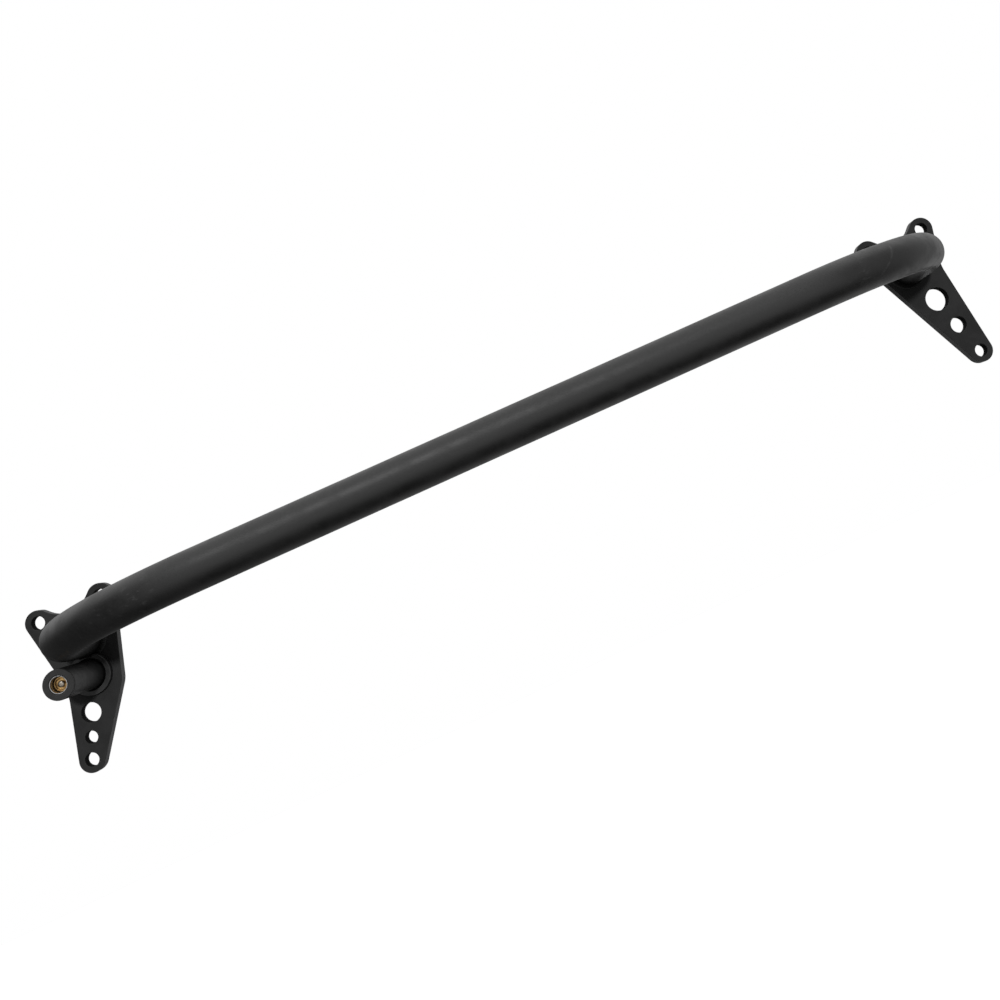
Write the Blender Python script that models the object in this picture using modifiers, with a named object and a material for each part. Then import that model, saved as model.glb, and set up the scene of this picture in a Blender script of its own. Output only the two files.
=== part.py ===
"""Pull-up bar: one bent tube carried on two three-armed mounting plates.

A round steel tube is bent to a wide U. Each leg of the U is welded square to a flat plate
that bolts to a wall or a frame through three holes. A hollow peg stands on the left plate,
inside a collar, and holds a spring plunger in its open end.

Metres, +Z up. The bar runs along X and stands off towards -Y, the front. The origin lies in
the plane of the plates' back faces, half-way between the legs and level with the tube's axis.
"""
import math

import bmesh
import bpy
from mathutils import Matrix, Vector

MM = 0.001
GAP = 0.3 * MM              # what is left between two pieces that touch

# the bent tube
TUBE_R = 19.05 * MM         # 38.1 mm tube
TUBE_WALL = 3.0 * MM
HALF_STRAIGHT = 295 * MM    # from the middle to the start of each bend
BEND_R = 180 * MM           # to the tube's axis
LEG_STRAIGHT = 25 * MM      # from the end of the bend to the plate
BEND_STEPS = 20
TUBE_SIDES = 36

# the two plates, in (out, up) from the leg's axis; out points away from the middle of the bar
PLATE_T = 12 * MM
LOBE_R = 13 * MM
BOLT_R = 7 * MM
BOLT_OUT = 36 * MM
BOLT_IN = -30 * MM
BOLT_UP = 33 * MM
BOLT_DOWN = -115 * MM
TOP_WAIST = (3 * MM, 60.8 * MM, -30 * MM)
PLATE_BEVEL = 0.5 * MM
HOLE_SIDES = 32

# the peg on the left plate, in (out, up) from the leg's axis
PEG_OUT = 5.5 * MM
PEG_UP = -36.5 * MM
PEG_LENGTH = 89 * MM
PEG_R = 14.7 * MM
PEG_BORE_R = 11.7 * MM
PEG_CHAMFER = 0.5 * MM
COLLAR_R = 21 * MM
COLLAR_BORE_R = 16.2 * MM
COLLAR_H = 7 * MM
BUSH_FLANGE_T = 2.5 * MM
BUSH_LENGTH = 22 * MM
BUSH_BORE_R = 8.8 * MM

# the spring plunger inside the peg's end, depths measured from the peg's end face
SLEEVE_R = 8.5 * MM
SLEEVE_BORE_R = 7.7 * MM
SLEEVE_DEPTH = 0.7 * MM
SLEEVE_LENGTH = 35 * MM
BODY_R = 7.4 * MM
BODY_DEPTH = 8.0 * MM
BODY_LENGTH = 27 * MM
NOSE_R = 3.1 * MM
NOSE_DEPTH = 6.4 * MM
NOSE_HOLE_R = 3.2 * MM
SHOULDER_R = 4.8 * MM
CAVITY_R = 5.0 * MM
FRONT_WALL = 4.0 * MM
SPRING_R = 3.7 * MM
SPRING_WIRE_R = 0.45 * MM
SPRING_TURNS = 7
PLUG_T = 3.0 * MM

LEG_X = HALF_STRAIGHT + BEND_R
FACE_Y = -PLATE_T                               # the plates' front faces
BAR_Y = FACE_Y - LEG_STRAIGHT - BEND_R          # the tube's axis along its straight length
WELD_LEG = 4 * MM

BLACK = (0.012, 0.012, 0.013, 1)
STEEL = (0.62, 0.61, 0.58, 1)
YELLOW = (0.72, 0.48, 0.16, 1)


def clear_scene():
    for old in list(bpy.data.objects):
        bpy.data.objects.remove(old, do_unlink=True)


def material(name, color, roughness, metallic):
    """A Principled material with one flat finish."""
    mat = bpy.data.materials.new(name)
    mat.use_nodes = True
    shader = mat.node_tree.nodes["Principled BSDF"]
    shader.inputs["Base Color"].default_value = color
    shader.inputs["Roughness"].default_value = roughness
    shader.inputs["Metallic"].default_value = metallic
    return mat


def collection(name):
    """The scene's collection of that name, made the first time it is asked for."""
    found = bpy.data.collections.get(name)
    if not found:
        found = bpy.data.collections.new(name)
        bpy.context.scene.collection.children.link(found)
    return found


def new_object(name, mesh, mat=None, group="pull_up_bar"):
    obj = bpy.data.objects.new(name, mesh)
    collection(group).objects.link(obj)
    if mat:
        obj.data.materials.append(mat)
    return obj


def belt(circles, steps=10):
    """Outline of a plate as a belt round circles (x, y, r), r < 0 where the edge is hollow.

    The belt runs anticlockwise. Each straight stretch is the common tangent of two circles:
    its left normal n has (c2 - c1) . n = r2 - r1, and it touches a circle at c - r n.
    """
    tangents = []
    for (x1, y1, r1), (x2, y2, r2) in zip(circles, circles[1:] + circles[:1]):
        span = Vector((x2 - x1, y2 - y1))
        turn = math.asin((r2 - r1) / span.length)
        heading = math.atan2(span.y, span.x) - turn
        tangents.append(heading)
    outline = []
    for i, (x, y, r) in enumerate(circles):
        start = tangents[i - 1]
        sweep = (tangents[i] - start + math.pi) % math.tau - math.pi
        if r * sweep < 0:
            sweep += math.copysign(math.tau, r)
        for k in range(steps + 1):
            heading = start + sweep * k / steps
            outline.append(Vector((x + r * math.sin(heading), y - r * math.cos(heading), 0)))
    return outline


def cutter(name, radius, x, y, z, length):
    """A cylinder along Y that a Boolean takes away."""
    mesh = bpy.data.meshes.new(name)
    bm = bmesh.new()
    bmesh.ops.create_cone(
        bm, cap_ends=True, segments=48, radius1=radius, radius2=radius, depth=length,
        matrix=Matrix.Translation((x, y, z)) @ Matrix.Rotation(math.pi / 2, 4, "X"))
    bm.to_mesh(mesh)
    bm.free()
    obj = new_object(name, mesh, group="cutters")
    obj.hide_render = True
    obj.display_type = "WIRE"
    return obj


def take_away(obj, tool):
    mod = obj.modifiers.new("cut_" + tool.name, "BOOLEAN")
    mod.operation = "DIFFERENCE"
    mod.solver = "EXACT"
    mod.object = tool


def turned(name, profile, place, mat, steps=48):
    """A piece turned about the line through place along Y.

    The profile is a closed list of (radius, depth) pairs, front to back down the outer side,
    and depth runs towards +Y. It is screwed round the object's own Z, which faces the front.
    """
    mesh = bpy.data.meshes.new(name)
    points = [(radius, 0, -depth) for radius, depth in profile]
    on_axis = [profile[0][0] == 0, profile[-1][0] == 0]
    edges = [(i, i + 1) for i in range(len(points) - 1)]
    if not all(on_axis):
        edges.append((len(points) - 1, 0))
    mesh.from_pydata(points, edges, [])
    obj = new_object(name, mesh, mat)
    obj.location = place
    obj.rotation_euler = (math.pi / 2, 0, 0)
    screw = obj.modifiers.new("turned", "SCREW")
    screw.axis = "Z"
    screw.steps = steps
    screw.render_steps = steps
    screw.use_merge_vertices = True
    screw.merge_threshold = 0.000001
    return obj


def curve_to_mesh(curve, name, mat, smooth=True):
    """The curve's swept or filled surface as an object with its loose caps welded on."""
    guide = new_object(name + "_guide", curve)
    bpy.context.view_layer.update()
    seen = guide.evaluated_get(bpy.context.evaluated_depsgraph_get())
    mesh = bpy.data.meshes.new_from_object(seen)
    mesh.transform(guide.matrix_world)
    bpy.data.objects.remove(guide, do_unlink=True)
    bm = bmesh.new()
    bm.from_mesh(mesh)
    bmesh.ops.remove_doubles(bm, verts=bm.verts, dist=1e-6)
    bmesh.ops.recalc_face_normals(bm, faces=bm.faces)
    bm.to_mesh(mesh)
    bm.free()
    mesh.name = name
    mesh.materials.clear()
    if smooth:
        mesh.shade_smooth()
    return new_object(name, mesh, mat)


def poly_curve(name, outlines, cyclic=False):
    """A curve of straight pieces, one spline for each list of points."""
    curve = bpy.data.curves.new(name, "CURVE")
    for points in outlines:
        spline = curve.splines.new("POLY")
        spline.points.add(len(points) - 1)
        for point, place in zip(spline.points, points):
            point.co = (*place, 1)
        spline.use_cyclic_u = cyclic
    return curve


def circle(x, y, radius, sides):
    turns = [math.tau * k / sides for k in range(sides)]
    return [Vector((x + radius * math.cos(t), y + radius * math.sin(t), 0)) for t in turns]


def make_cross_bar(mat):
    """The bent tube: a U-shaped path in the plane of the legs, swept and given a wall."""
    end_y = FACE_Y - GAP
    path = [Vector((-LEG_X, end_y, 0))]
    for side in (-1, 1):
        turns = [math.pi / 2 * k / BEND_STEPS for k in range(BEND_STEPS + 1)]
        bend = [Vector((side * (HALF_STRAIGHT + BEND_R * math.sin(t)),
                        BAR_Y + BEND_R * (1 - math.cos(t)), 0)) for t in turns]
        path += bend[::-1] if side < 0 else bend
    path.append(Vector((LEG_X, end_y, 0)))
    curve = poly_curve("bar_path", [path])
    curve.dimensions = "3D"
    curve.bevel_depth = TUBE_R
    curve.bevel_resolution = TUBE_SIDES // 4 - 1
    curve.use_fill_caps = False
    bar = curve_to_mesh(curve, "cross_bar", mat)
    wall = bar.modifiers.new("wall", "SOLIDIFY")
    wall.thickness = TUBE_WALL
    wall.offset = -1
    wall.use_even_offset = True


def make_plate(name, side, waist, shoulders, lightening, mat):
    """A flat three-armed plate with one bolt hole in each arm.

    side is -1 for the left plate and +1 for the right one. waist is the hollow in the outer
    edge, shoulders are the swellings in the inner edge, and lightening lists the other holes.
    """
    low, outer, inner = (BOLT_OUT, BOLT_DOWN), (BOLT_OUT, BOLT_UP), (BOLT_IN, BOLT_UP)
    circles = [(*low, LOBE_R), waist, (*outer, LOBE_R), TOP_WAIST, (*inner, LOBE_R), *shoulders]
    holes = [(*place, BOLT_R) for place in (low, outer, inner)] + lightening
    outlines = [belt(circles)] + [circle(*hole, HOLE_SIDES) for hole in holes]
    mirrored = [[Vector((side * p.x, p.y, 0)) for p in outline] for outline in outlines]
    curve = poly_curve(name + "_outline", mirrored, cyclic=True)
    curve.dimensions = "2D"
    curve.fill_mode = "BOTH"
    curve.extrude = PLATE_T / 2
    plate = curve_to_mesh(curve, name, mat, smooth=False)
    plate.data.transform(Matrix.Translation((side * LEG_X, FACE_Y + PLATE_T / 2, 0))
                         @ Matrix.Rotation(math.pi / 2, 4, "X"))
    edge = plate.modifiers.new("edge", "BEVEL")
    edge.width = PLATE_BEVEL
    edge.segments = 1
    edge.limit_method = "ANGLE"
    edge.angle_limit = math.radians(60)


def make_leg_weld(name, side, mat):
    """The fillet weld that runs round a leg's foot."""
    inner = TUBE_R + GAP
    profile = [(inner, -WELD_LEG), (inner + 0.5 * WELD_LEG, -0.62 * WELD_LEG),
               (inner + 0.85 * WELD_LEG, -0.3 * WELD_LEG), (inner + WELD_LEG, -GAP), (inner, -GAP)]
    return turned(name, profile, (side * LEG_X, FACE_Y, 0), mat)


def make_peg(tube_mat, collar_mat, weld_mat):
    """The peg's tube, its collar and the weld between them."""
    x = -(LEG_X + PEG_OUT)
    end_y = FACE_Y - PEG_LENGTH
    front = BUSH_FLANGE_T + GAP
    back = PEG_LENGTH - GAP
    tube_profile = [(PEG_BORE_R, front), (PEG_R - PEG_CHAMFER, front), (PEG_R, front + PEG_CHAMFER),
                    (PEG_R, back), (PEG_BORE_R, back)]
    turned("peg_tube", tube_profile, (x, end_y, PEG_UP), tube_mat)
    rim = 0.8 * MM
    collar_profile = [(COLLAR_BORE_R, -COLLAR_H), (COLLAR_R - rim, -COLLAR_H),
                      (COLLAR_R, -COLLAR_H + rim), (COLLAR_R, -GAP), (COLLAR_BORE_R, -GAP)]
    collar = turned("peg_collar", collar_profile, (x, FACE_Y, PEG_UP), collar_mat)
    relief = cutter("leg_relief", TUBE_R + 2 * GAP, -LEG_X, FACE_Y, 0, 60 * MM)
    take_away(collar, relief)
    inner, outer = PEG_R + GAP, COLLAR_BORE_R - GAP
    bead = [(inner, -3.4 * MM), (0.5 * (inner + outer), -2.0 * MM), (outer, -2.4 * MM),
            (outer, -GAP), (inner, -GAP)]
    turned("peg_weld", bead, (x, FACE_Y, PEG_UP), weld_mat)
    return x, end_y


def make_end_bush(x, end_y, mat):
    """A top-hat bush pressed into the peg, whose flange is the peg's end face."""
    spigot = PEG_BORE_R - GAP
    profile = [(BUSH_BORE_R + PEG_CHAMFER, 0), (PEG_R - PEG_CHAMFER, 0), (PEG_R, PEG_CHAMFER),
               (PEG_R, BUSH_FLANGE_T), (spigot, BUSH_FLANGE_T), (spigot, BUSH_LENGTH),
               (BUSH_BORE_R, BUSH_LENGTH), (BUSH_BORE_R, PEG_CHAMFER)]
    turned("peg_end_bush", profile, (x, end_y, PEG_UP), mat)


def make_plunger(x, end_y):
    """The spring plunger: sleeve, threaded body, sliding nose, spring and end plug."""
    place = (x, end_y, PEG_UP)
    sleeve_back = SLEEVE_DEPTH + SLEEVE_LENGTH
    sleeve = [(SLEEVE_BORE_R, SLEEVE_DEPTH), (SLEEVE_R - 0.2 * MM, SLEEVE_DEPTH),
              (SLEEVE_R, SLEEVE_DEPTH + 0.2 * MM), (SLEEVE_R, sleeve_back),
              (SLEEVE_BORE_R, sleeve_back)]
    turned("plunger_sleeve", sleeve, place, material("sleeve_steel", STEEL, 0.2, 1))
    face = BODY_DEPTH
    back = face + BODY_LENGTH
    wall = face + FRONT_WALL
    body = [(NOSE_HOLE_R, face + 1.6 * MM), (5.2 * MM, face + 1.6 * MM), (5.6 * MM, face),
            (BODY_R - PEG_CHAMFER, face), (BODY_R, face + PEG_CHAMFER), (BODY_R, back),
            (CAVITY_R, back), (CAVITY_R, wall), (NOSE_HOLE_R, wall)]
    turned("plunger_body", body, place, material("plunger_body_zinc", YELLOW, 0.25, 1))
    tip = NOSE_DEPTH
    shoulder = wall + 0.05 * MM
    pin = [(0, tip), (0.55 * NOSE_R, tip + 0.12 * MM), (0.9 * NOSE_R, tip + 0.6 * MM),
           (NOSE_R, tip + 1.3 * MM), (NOSE_R, shoulder), (SHOULDER_R, shoulder),
           (SHOULDER_R, shoulder + 2.4 * MM), (2.4 * MM, shoulder + 2.4 * MM),
           (2.4 * MM, shoulder + 8 * MM), (0, shoulder + 8 * MM)]
    turned("plunger_pin", pin, place, material("plunger_pin_steel", STEEL, 0.2, 1), 32)
    plug_face = back - PLUG_T
    plug = [(0, plug_face), (CAVITY_R - GAP, plug_face), (CAVITY_R - GAP, back), (0, back)]
    turned("plunger_plug", plug, place, material("plunger_plug_zinc", YELLOW, 0.25, 1), 32)
    spring_from = shoulder + 2.4 * MM + GAP + SPRING_WIRE_R
    spring_to = plug_face - GAP - SPRING_WIRE_R
    make_spring(place, spring_from, spring_to, material("spring_steel", STEEL, 0.25, 1))


def make_spring(place, start, stop, mat):
    """A round-wire coil between two depths."""
    steps = SPRING_TURNS * 14
    coil = []
    for k in range(steps + 1):
        turn = math.tau * SPRING_TURNS * k / steps
        depth = start + (stop - start) * k / steps
        coil.append(Vector((SPRING_R * math.cos(turn), depth, SPRING_R * math.sin(turn))))
    curve = poly_curve("spring_path", [coil])
    curve.dimensions = "3D"
    curve.bevel_depth = SPRING_WIRE_R
    curve.bevel_resolution = 1
    curve.use_fill_caps = True
    spring = curve_to_mesh(curve, "plunger_spring", mat)
    spring.location = place


def main():
    clear_scene()
    make_cross_bar(material("bar_black", BLACK, 0.42, 0))
    # the left plate's outer edge has the deeper waist, and its inner edge swells round the peg
    make_plate("left_mount_plate", -1, (94.5 * MM, -42 * MM, -60 * MM),
               [(4.5 * MM, -43 * MM, 26.5 * MM)],
               [(20 * MM, -71.6 * MM, 10 * MM), (28.5 * MM, -94.4 * MM, 6.4 * MM)],
               material("left_plate_black", BLACK, 0.45, 0))
    make_plate("right_mount_plate", 1, (78.5 * MM, -15 * MM, -40 * MM), [],
               [(17 * MM, -44.5 * MM, 13 * MM), (26 * MM, -79.5 * MM, 9 * MM)],
               material("right_plate_black", BLACK, 0.45, 0))
    weld = make_leg_weld("left_leg_weld", -1, material("left_weld_black", BLACK, 0.5, 0))
    make_leg_weld("right_leg_weld", 1, material("right_weld_black", BLACK, 0.5, 0))
    room = cutter("collar_room", COLLAR_R + GAP, -(LEG_X + PEG_OUT), FACE_Y, PEG_UP, 60 * MM)
    take_away(weld, room)
    x, end_y = make_peg(material("peg_tube_black", BLACK, 0.4, 0),
                        material("peg_collar_black", BLACK, 0.4, 0),
                        material("peg_weld_black", BLACK, 0.5, 0))
    make_end_bush(x, end_y, material("bush_black", BLACK, 0.4, 0))
    make_plunger(x, end_y)


main()
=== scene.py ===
"""Pull-up bar, finished: bent tube, two three-armed plates, welds, collared peg and plunger.

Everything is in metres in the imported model's frame: X along the bar, Y into the wall, Z up.
Each new piece is a surface worked out over a grid of two parameters, and stands for one
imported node. Seams and poles are merged, so every piece is one closed skin.
"""
import math

import bmesh
import bpy
import numpy as np
from mathutils import Matrix, Vector
from mathutils.geometry import tessellate_polygon


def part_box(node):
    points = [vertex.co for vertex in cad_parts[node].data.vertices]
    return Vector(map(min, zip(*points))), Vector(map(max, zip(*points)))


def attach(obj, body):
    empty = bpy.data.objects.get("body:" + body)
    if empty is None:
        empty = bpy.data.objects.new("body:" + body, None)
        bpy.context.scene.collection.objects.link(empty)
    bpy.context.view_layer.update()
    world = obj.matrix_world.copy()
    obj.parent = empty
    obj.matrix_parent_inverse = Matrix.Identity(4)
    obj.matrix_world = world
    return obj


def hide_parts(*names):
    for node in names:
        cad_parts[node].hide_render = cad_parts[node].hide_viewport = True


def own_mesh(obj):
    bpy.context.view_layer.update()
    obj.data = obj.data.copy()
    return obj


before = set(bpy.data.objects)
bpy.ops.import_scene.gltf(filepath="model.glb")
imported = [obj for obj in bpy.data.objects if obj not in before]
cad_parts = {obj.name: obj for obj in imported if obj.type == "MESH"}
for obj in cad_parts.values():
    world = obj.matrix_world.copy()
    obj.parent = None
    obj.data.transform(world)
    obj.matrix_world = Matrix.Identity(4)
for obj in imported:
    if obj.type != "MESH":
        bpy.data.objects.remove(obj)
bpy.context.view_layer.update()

MM = 0.001
TAU = 2 * math.pi
GAP = 0.3 * MM               # room left between two pieces that touch

# the bent tube
bar_low, bar_high = (np.array(corner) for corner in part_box("cross_bar"))
TUBE_R = bar_high[2]
TUBE_WALL = 3.0 * MM
LEG_X = bar_high[0] - TUBE_R
BAR_Y = bar_low[1] + TUBE_R
LEG_END_Y = bar_high[1]
BEND_R = 180 * MM
HALF_STRAIGHT = LEG_X - BEND_R

# the plates, in (out, up) from the leg's axis; out points away from the middle of the bar
plate_low, plate_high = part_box("left_mount_plate")
FACE_Y = plate_low[1]
PLATE_T = plate_high[1] - plate_low[1]
LOBE_R = 13 * MM
BOLT_R = 7 * MM
LOWER_BOLT = (36 * MM, -115 * MM)
OUTER_BOLT = (36 * MM, 33 * MM)
INNER_BOLT = (-30 * MM, 33 * MM)
TOP_WAIST = (3 * MM, 60.8 * MM, -30 * MM)
PLATE_EDGE = 0.55 * MM       # radius of the plates' dulled edges
WELD_LEG = 4 * MM
LEFT_WAIST = (94.5 * MM, -42 * MM, -60 * MM)
LEFT_SHOULDERS = [(4.5 * MM, -43 * MM, 26.5 * MM)]
LEFT_HOLES = [(20 * MM, -71.6 * MM, 10 * MM), (28.5 * MM, -94.4 * MM, 6.4 * MM)]
LEFT_NICK = (2.0 * MM, -87 * MM, 1.3 * MM, 0.7 * MM)
RIGHT_WAIST = (78.5 * MM, -15 * MM, -40 * MM)
RIGHT_HOLES = [(17 * MM, -44.5 * MM, 13 * MM), (26 * MM, -79.5 * MM, 9 * MM)]

# the peg and the plunger in its end
peg_low, peg_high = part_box("peg_end_bush")
PEG_X = 0.5 * (peg_low[0] + peg_high[0])
PEG_Z = 0.5 * (peg_low[2] + peg_high[2])
PEG_END_Y = peg_low[1]
PEG_R = 0.5 * (peg_high[0] - peg_low[0])
PEG_LENGTH = FACE_Y - PEG_END_Y
PEG_BORE_R = 11.7 * MM
COLLAR_R = 21 * MM
COLLAR_BORE_R = 16.2 * MM
COLLAR_H = 7 * MM
BUSH_FLANGE_T = 2.5 * MM
BUSH_LENGTH = 22 * MM
BUSH_BORE_R = 8.8 * MM
SLEEVE_R = 8.5 * MM
SLEEVE_BORE_R = 7.7 * MM
SLEEVE_DEPTH = 0.7 * MM
SLEEVE_LENGTH = 35 * MM
BODY_R = 7.4 * MM
BODY_DEPTH = 8.0 * MM
BODY_LENGTH = 27 * MM
NOSE_R = 3.1 * MM
NOSE_DEPTH = 6.4 * MM
CAVITY_R = 5.0 * MM
FRONT_WALL = 4.0 * MM
SPRING_R = 3.7 * MM
SPRING_WIRE_R = 0.45 * MM
SPRING_TURNS = 7
PLUG_T = 3.0 * MM

# where the camera stands and how it is turned, degrees
CAMERA_PLACE = (-0.03884, -1.24178, -0.08761)
CAMERA_BEARING = 5.776       # of its aim, from +Y towards +X
CAMERA_RISE = 5.824          # of its aim, above the level
CAMERA_ROLL = 24.617         # of its top, towards its right
CAMERA_LENS = 41.876
CAMERA_SHIFT = (-0.069, -0.1194)


# ---------------------------------------------------------------- meshes

def skin(name, points, quads, tris=None, edge=None):
    """One closed mesh from points and faces, with its doubles merged and its faces outwards.

    edge says, for each point, how far it lies on a dulled edge, from 0 to 1.
    """
    tris = np.zeros((0, 3), int) if tris is None else tris
    mesh = bpy.data.meshes.new(name)
    loops = np.concatenate([quads.ravel(), tris.ravel()]).astype(np.int32)
    starts = np.concatenate([np.arange(len(quads)) * 4,
                             quads.size + np.arange(len(tris)) * 3]).astype(np.int32)
    mesh.vertices.add(len(points))
    mesh.vertices.foreach_set("co", points.astype(np.float32).ravel())
    mesh.loops.add(len(loops))
    mesh.loops.foreach_set("vertex_index", loops)
    mesh.polygons.add(len(starts))
    mesh.polygons.foreach_set("loop_start", starts)
    mesh.update(calc_edges=True)
    mark = mesh.attributes.new("edge", "FLOAT", "POINT")
    values = np.zeros(len(points)) if edge is None else edge
    mark.data.foreach_set("value", values.astype(np.float32).ravel())
    bm = bmesh.new()
    bm.from_mesh(mesh)
    bmesh.ops.remove_doubles(bm, verts=bm.verts, dist=1e-7)
    bmesh.ops.recalc_face_normals(bm, faces=bm.faces)
    bm.to_mesh(mesh)
    bm.free()
    mesh.shade_smooth()
    obj = bpy.data.objects.new(name, mesh)
    bpy.context.scene.collection.objects.link(obj)
    return obj


def grid_faces(rows, columns, ring_rows=False, ring_columns=True):
    """Quads of a grid whose points are numbered row by row, closed round where it is a ring."""
    row = np.arange(rows if ring_rows else rows - 1)[:, None]
    column = np.arange(columns if ring_columns else columns - 1)[None, :]
    row_on, column_on = (row + 1) % rows, (column + 1) % columns
    corners = [row * columns + column, row * columns + column_on,
               row_on * columns + column_on, row_on * columns + column]
    return np.stack(np.broadcast_arrays(*corners), -1).reshape(-1, 4)


def smooth_step(value, low, high):
    """0 below low, 1 above high, and 3t^2 - 2t^3 in between."""
    t = np.clip((value - low) / (high - low), 0, 1)
    return t * t * (3 - 2 * t)


def eased(profile, default=0.12 * MM):
    """A closed profile of (radius, depth[, ease]) corners with each corner eased.

    A corner p between unit directions u and w becomes the quadratic curve
    (1-t)^2 a + 2t(1-t) p + t^2 b with a = p - e u and b = p + e w. A point beyond each end
    keeps the flats flat. A corner on the axis stays as it is.
    """
    corners = np.array([corner[:2] for corner in profile], float)
    ease = np.array([corner[2] if len(corner) > 2 else default for corner in profile])
    before, after = np.roll(corners, 1, 0), np.roll(corners, -1, 0)
    run_in = np.linalg.norm(corners - before, axis=1)
    run_out = np.linalg.norm(after - corners, axis=1)
    ease = np.minimum(ease, 0.3 * np.minimum(run_in, run_out))[:, None]
    u = (corners - before) / run_in[:, None]
    w = (after - corners) / run_out[:, None]
    t = np.linspace(0, 1, 6)[None, :, None]
    a, b = (corners - ease * u)[:, None], (corners + ease * w)[:, None]
    curve = (1 - t) ** 2 * a + 2 * t * (1 - t) * corners[:, None] + t ** 2 * b
    guards = (corners - 1.5 * ease * u)[:, None], (corners + 1.5 * ease * w)[:, None]
    curve = np.concatenate([guards[0], curve, guards[1]], axis=1)
    on_axis = corners[:, 0] < 1e-6
    curve[on_axis] = corners[on_axis][:, None]
    mark = np.tile([0, 0.3, 1, 1, 1, 1, 0.3, 0], (len(corners), 1)) * ~on_axis[:, None]
    return curve.reshape(-1, 2), mark.ravel()


def turned(name, profile, front_y, sides=144, x=PEG_X, z=PEG_Z, shape=None, default=0.12 * MM):
    """A piece turned about a line along Y: (x + r cos a, front_y + d, z + r sin a).

    profile is a closed list of (radius r, depth d[, ease]). shape(r, d, a) may return other
    radii and depths for whole arrays.
    """
    section, mark = eased(profile, default)
    turn = np.arange(sides)[None, :] * TAU / sides
    radius = np.repeat(section[:, :1], sides, 1)
    depth = np.repeat(section[:, 1:], sides, 1)
    if shape:
        radius, depth = shape(radius, depth, np.broadcast_to(turn, radius.shape))
    points = np.stack([x + radius * np.cos(turn), front_y + depth, z + radius * np.sin(turn)], -1)
    faces = grid_faces(len(section), sides, ring_rows=True)
    return skin(name, points.reshape(-1, 3), faces, edge=np.repeat(mark, sides))


# ---------------------------------------------------------------- the bent tube

def bar_stations(straight, bend, leg):
    """Distances along the axis from the middle of the bar to one end, closer set in the bend."""
    arc = 0.5 * math.pi * BEND_R
    ends = [0, HALF_STRAIGHT, HALF_STRAIGHT + arc, HALF_STRAIGHT + arc + LEG_END_Y - BAR_Y - BEND_R]
    runs = [np.linspace(a, b, max(2, round((b - a) / step)), endpoint=False)
            for a, b, step in zip(ends, ends[1:], (straight, bend, leg))]
    half = np.concatenate(runs + [[ends[-1]]])
    return np.concatenate([-half[:0:-1], half])


def bar_axis(station):
    """The bar's axis: level with X, then a quarter circle, then level with Y, at each side.

    With t the angle turned so far, the place is (sign (h + R sin t), BAR_Y + R (1 - cos t))
    plus what is left of the leg, and the outward normal is (sign sin t, -cos t).
    """
    side, along = np.sign(station), np.abs(station)
    turn = np.clip((along - HALF_STRAIGHT) / BEND_R, 0, math.pi / 2)
    leg = np.maximum(along - HALF_STRAIGHT - BEND_R * math.pi / 2, 0)
    place_x = side * (np.minimum(along, HALF_STRAIGHT) + BEND_R * np.sin(turn))
    place_y = BAR_Y + BEND_R * (1 - np.cos(turn)) + leg
    return place_x, place_y, side * np.sin(turn), -np.cos(turn)


def die_mark(station, around, at, lean, bow, reach, height, width):
    """Height of the curved mark that a bending die leaves: a soft ridge across the tube.

    With q the distance round the tube from its outer side, the ridge runs along
    station = at + lean q - bow q^2, and dies out where |q| passes reach.
    """
    q = TUBE_R * around
    off = station - (at + lean * q - bow * q * q)
    return height * np.exp(-(off / width) ** 2) * (1 - smooth_step(np.abs(q), 0.6 * reach, reach))


def cross_bar():
    """The tube: radius r round its axis, r (cos a n + sin a z), outside first and then the bore."""
    sides = 112
    outside = bar_stations(7 * MM, 1.3 * MM, 3 * MM)
    mark = HALF_STRAIGHT + 81 * MM
    close_set = np.arange(mark - 14 * MM, mark + 14 * MM, 0.45 * MM)
    outside = np.unique(np.concatenate([outside, close_set]))
    inside = bar_stations(20 * MM, 6 * MM, 8 * MM)[::-1]
    station = np.concatenate([outside, inside])[:, None]
    around = ((np.arange(sides) * TAU / sides + math.pi) % TAU - math.pi)[None, :]
    is_out = (np.arange(len(station)) < len(outside))[:, None]
    radius = np.where(is_out, TUBE_R, TUBE_R - TUBE_WALL) * np.ones_like(around)
    # a bending die's crescent on one bend, and its softer partner where the other bend starts
    crescent = die_mark(station, around, mark + 0.2 * MM, 1.05, 30, 14 * MM, 1.0, 0.9 * MM)
    radius = radius + is_out * crescent * 0.3 * MM
    partner = die_mark(station, around, -HALF_STRAIGHT - 83 * MM, -0.4, 12, 16 * MM,
                       0.05 * MM, 3 * MM)
    radius = radius - is_out * partner
    # the tube's surface is never dead true: waves of a few hundredths of a millimetre
    radius = radius + is_out * 0.02 * MM * (np.sin(station * 61 + 2 * np.sin(2 * around))
                                            + np.sin(station * 23 - around * 3))
    place_x, place_y, out_x, out_y = bar_axis(station)
    points = np.stack([place_x + radius * np.cos(around) * out_x,
                       place_y + radius * np.cos(around) * out_y,
                       radius * np.sin(around)], -1)
    return skin("bent_bar", points.reshape(-1, 3), grid_faces(len(station), sides, ring_rows=True),
                edge=(is_out * crescent).ravel())


# ---------------------------------------------------------------- the plates

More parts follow.
